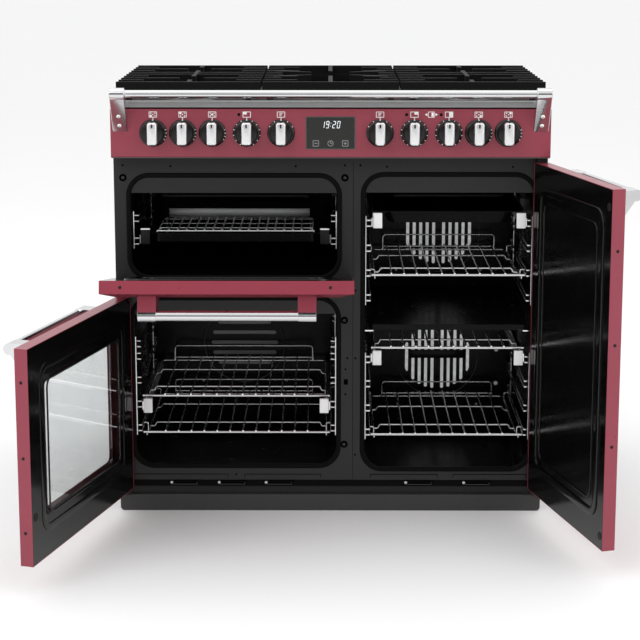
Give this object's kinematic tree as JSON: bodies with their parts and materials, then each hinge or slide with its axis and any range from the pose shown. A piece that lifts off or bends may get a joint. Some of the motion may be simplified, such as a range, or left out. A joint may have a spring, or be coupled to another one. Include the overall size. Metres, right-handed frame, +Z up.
{
  "type": "freestanding gas range",
  "caption": "Freestanding range cooker with a gas hob, knob fascia, towel rail and three ovens whose hinged doors stand open over sliding wire shelves.",
  "frame": {"origin": "on the floor, at the middle of the width, in the front plane of the plinth", "axes": "+X to the right as seen from the front, +Y to the rear, +Z up"},
  "size_m": [1.2063, 1.0616, 0.922],
  "materials": {
    "rose_enamel": "satin vitreous enamel",
    "grey_paint": "satin paint",
    "zinc_sheet": "galvanised",
    "hob_steel": "brushed",
    "cast_iron": "matt black enamel",
    "burner_alloy": "satin",
    "black_enamel": "gloss black enamel",
    "chrome": "polished",
    "display_grey": "gloss",
    "knob_black": "satin",
    "seal": "matt",
    "glass": "clear",
    "chromed_wire": "polished",
    "runner_steel": "satin",
    "black_steel": "matt",
    "brass": "plain"
  },
  "bodies": {
    "range": {"back_panel": "zinc_sheet", "base_tray": "grey_paint", "burner_caps": "black_enamel", "burner_crowns": "burner_alloy", "clock_display": "display_grey", "door_gaskets": "seal", "fan_covers": "black_enamel", "fascia": "rose_enamel", "front_frame": "grey_paint", "gas_inlet": "brass", "hinge_brackets": "black_steel", "hob_plate": "hob_steel", "ladders_left": "chromed_wire", "ladders_right": "chromed_wire", "ladders_top": "chromed_wire", "leveling_feet": "black_steel", "liner_left": "black_enamel", "liner_right": "black_enamel", "liner_top": "black_enamel", "lower_rail": "grey_paint", "plinth": "grey_paint", "rail_brackets": "chrome", "side_panel_left": "grey_paint", "side_panel_right": "grey_paint", "towel_rail": "chrome"},
    "knob_1": {"knob_1": "knob_black"},
    "knob_2": {"knob_2": "knob_black"},
    "knob_3": {"knob_3": "knob_black"},
    "knob_4": {"knob_4": "knob_black"},
    "knob_5": {"knob_5": "knob_black"},
    "knob_6": {"knob_6": "knob_black"},
    "knob_7": {"knob_7": "knob_black"},
    "knob_8": {"knob_8": "knob_black"},
    "knob_9": {"knob_9": "knob_black"},
    "knob_10": {"knob_10": "knob_black"},
    "door_top": {"door_top_shell": "rose_enamel", "door_top_inner": "black_enamel", "door_top_handle": "chrome"},
    "door_left": {"door_left_shell": "rose_enamel", "door_left_inner": "black_enamel", "door_left_handle": "chrome", "door_left_glass": "glass"},
    "door_right": {"door_right_shell": "rose_enamel", "door_right_inner": "black_enamel", "door_right_handle": "chrome"},
    "shelf_right_upper": {"shelf_right_upper": "chromed_wire"},
    "shelf_right_middle": {"shelf_right_middle": "chromed_wire", "runners_right_middle": "runner_steel"},
    "shelf_right_lower": {"shelf_right_lower": "chromed_wire"},
    "shelf_left_upper": {"shelf_left_upper": "chromed_wire", "runners_left": "runner_steel"},
    "shelf_left_lower": {"shelf_left_lower": "chromed_wire"},
    "oven_tray": {"oven_tray": "black_enamel", "runners_right_top": "runner_steel"},
    "oven_divider": {"oven_divider": "black_enamel"},
    "grill_pan": {"grill_pan": "black_enamel"},
    "grill_trivet": {"grill_trivet": "chromed_wire"},
    "pan_support_left": {"pan_support_left": "cast_iron"},
    "pan_support_centre": {"pan_support_centre": "cast_iron"},
    "pan_support_right": {"pan_support_right": "cast_iron"}
  },
  "joints": [
    {"name": "knob_1_turn", "type": "hinge", "parent": "range", "child": "knob_1", "pos_m": [-0.3625, -0.0391, 0.82], "axis": [0, -1, 0], "range_deg": [0, 230]},
    {"name": "knob_2_turn", "type": "hinge", "parent": "range", "child": "knob_2", "pos_m": [-0.302, -0.0391, 0.82], "axis": [0, -1, 0], "range_deg": [0, 230]},
    {"name": "knob_3_turn", "type": "hinge", "parent": "range", "child": "knob_3", "pos_m": [-0.2415, -0.0391, 0.82], "axis": [0, -1, 0], "range_deg": [0, 230]},
    {"name": "knob_4_turn", "type": "hinge", "parent": "range", "child": "knob_4", "pos_m": [-0.171, -0.0391, 0.82], "axis": [0, -1, 0], "range_deg": [-270, 0]},
    {"name": "knob_5_turn", "type": "hinge", "parent": "range", "child": "knob_5", "pos_m": [-0.101, -0.0391, 0.82], "axis": [0, -1, 0], "range_deg": [-270, 0]},
    {"name": "knob_6_turn", "type": "hinge", "parent": "range", "child": "knob_6", "pos_m": [0.101, -0.0391, 0.82], "axis": [0, -1, 0], "range_deg": [-270, 0]},
    {"name": "knob_7_turn", "type": "hinge", "parent": "range", "child": "knob_7", "pos_m": [0.171, -0.0391, 0.82], "axis": [0, -1, 0], "range_deg": [-270, 0]},
    {"name": "knob_8_turn", "type": "hinge", "parent": "range", "child": "knob_8", "pos_m": [0.2415, -0.0391, 0.82], "axis": [0, -1, 0], "range_deg": [-270, 0]},
    {"name": "knob_9_turn", "type": "hinge", "parent": "range", "child": "knob_9", "pos_m": [0.302, -0.0391, 0.82], "axis": [0, -1, 0], "range_deg": [0, 230]},
    {"name": "knob_10_turn", "type": "hinge", "parent": "range", "child": "knob_10", "pos_m": [0.3625, -0.0391, 0.82], "axis": [0, -1, 0], "range_deg": [0, 230]},
    {"name": "door_top_drop", "type": "hinge", "parent": "range", "child": "door_top", "pos_m": [-0.2015, -0.022, 0.497], "axis": [1, 0, 0], "range_deg": [-79.8, 0]},
    {"name": "door_left_swing", "type": "hinge", "parent": "range", "child": "door_left", "pos_m": [-0.434, -0.019, 0.26], "axis": [0, 0, -1], "range_deg": [-106.3, 0]},
    {"name": "door_right_swing", "type": "hinge", "parent": "range", "child": "door_right", "pos_m": [0.435, -0.0185, 0.4], "axis": [0, 0, 1], "range_deg": [-104.9, 0]},
    {"name": "shelf_right_upper_slide", "type": "slide", "parent": "range", "child": "shelf_right_upper", "axis": [0, -1, 0], "range_m": [0, 0.28]},
    {"name": "shelf_right_middle_slide", "type": "slide", "parent": "range", "child": "shelf_right_middle", "axis": [0, -1, 0], "range_m": [0, 0.28]},
    {"name": "shelf_right_lower_slide", "type": "slide", "parent": "range", "child": "shelf_right_lower", "axis": [0, -1, 0], "range_m": [0, 0.28]},
    {"name": "shelf_left_upper_slide", "type": "slide", "parent": "range", "child": "shelf_left_upper", "axis": [0, -1, 0], "range_m": [0, 0.28]},
    {"name": "shelf_left_lower_slide", "type": "slide", "parent": "range", "child": "shelf_left_lower", "axis": [0, -1, 0], "range_m": [0, 0.28]},
    {"name": "oven_tray_slide", "type": "slide", "parent": "range", "child": "oven_tray", "axis": [0, -1, 0], "range_m": [0, 0.26]},
    {"name": "oven_divider_slide", "type": "slide", "parent": "range", "child": "oven_divider", "axis": [0, -1, 0], "range_m": [0, 0.25]},
    {"name": "grill_pan_slide", "type": "slide", "parent": "range", "child": "grill_pan", "axis": [0, -1, 0], "range_m": [0, 0.22]},
    {"name": "grill_trivet_lift", "type": "slide", "parent": "grill_pan", "child": "grill_trivet", "axis": [0, 0, 1], "range_m": [0, 0.05]},
    {"name": "pan_support_left_lift", "type": "slide", "parent": "range", "child": "pan_support_left", "axis": [0, 0, 1], "range_m": [0, 0.06]},
    {"name": "pan_support_centre_lift", "type": "slide", "parent": "range", "child": "pan_support_centre", "axis": [0, 0, 1], "range_m": [0, 0.06]},
    {"name": "pan_support_right_lift", "type": "slide", "parent": "range", "child": "pan_support_right", "axis": [0, 0, 1], "range_m": [0, 0.06]}
  ]
}
